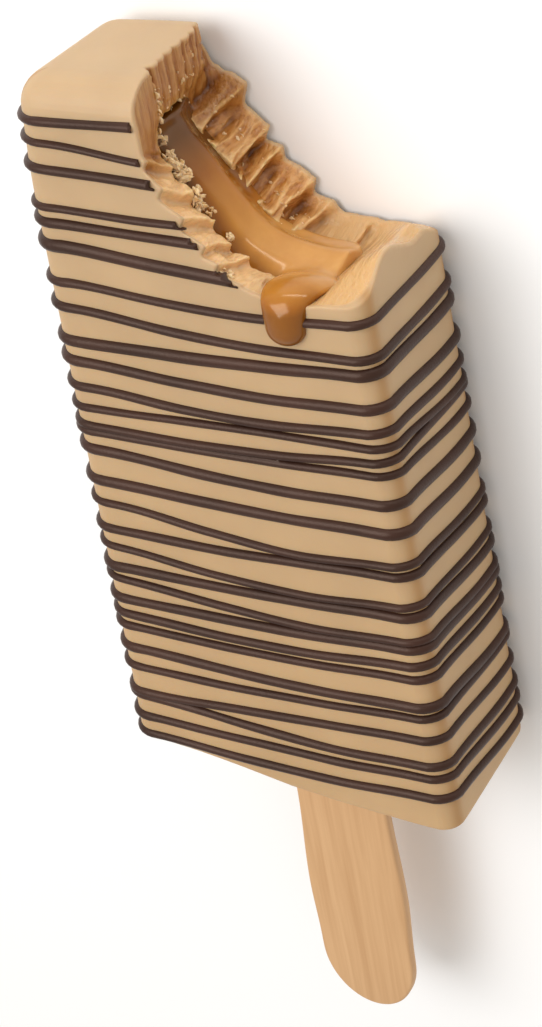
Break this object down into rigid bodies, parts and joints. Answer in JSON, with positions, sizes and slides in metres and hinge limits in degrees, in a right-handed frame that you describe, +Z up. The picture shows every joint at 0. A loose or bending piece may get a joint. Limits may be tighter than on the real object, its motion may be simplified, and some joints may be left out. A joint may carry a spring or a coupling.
{
  "type": "bitten ice cream bar on a stick",
  "caption": "Coffee-coloured ice cream bar with dark drizzle threads, a bite that opens a caramel core, and a flat wooden stick, lying on its back.",
  "frame": {"origin": "middle of the box's underside: the middle of the whole length and width, on the surface that the bar lies on", "axes": "+Y along the bar from the stick's free end to the bitten tip, +X across the bar towards its bitten side, +Z up out of the shown front face"},
  "size_m": [0.0564, 0.1749, 0.0279],
  "materials": {
    "ice_cream": "smooth frozen coffee coating, matt with a soft sheen, torn and fibrous in the bite",
    "chocolate": "satin dark chocolate threads",
    "caramel": "wet glossy caramel",
    "stick": "plain smooth birch, with fine grain along the stick"
  },
  "bodies": {
    "root": {"ice_cream": "ice_cream", "caramel": "caramel", "stick": "stick"}
  },
  "joints": []
}
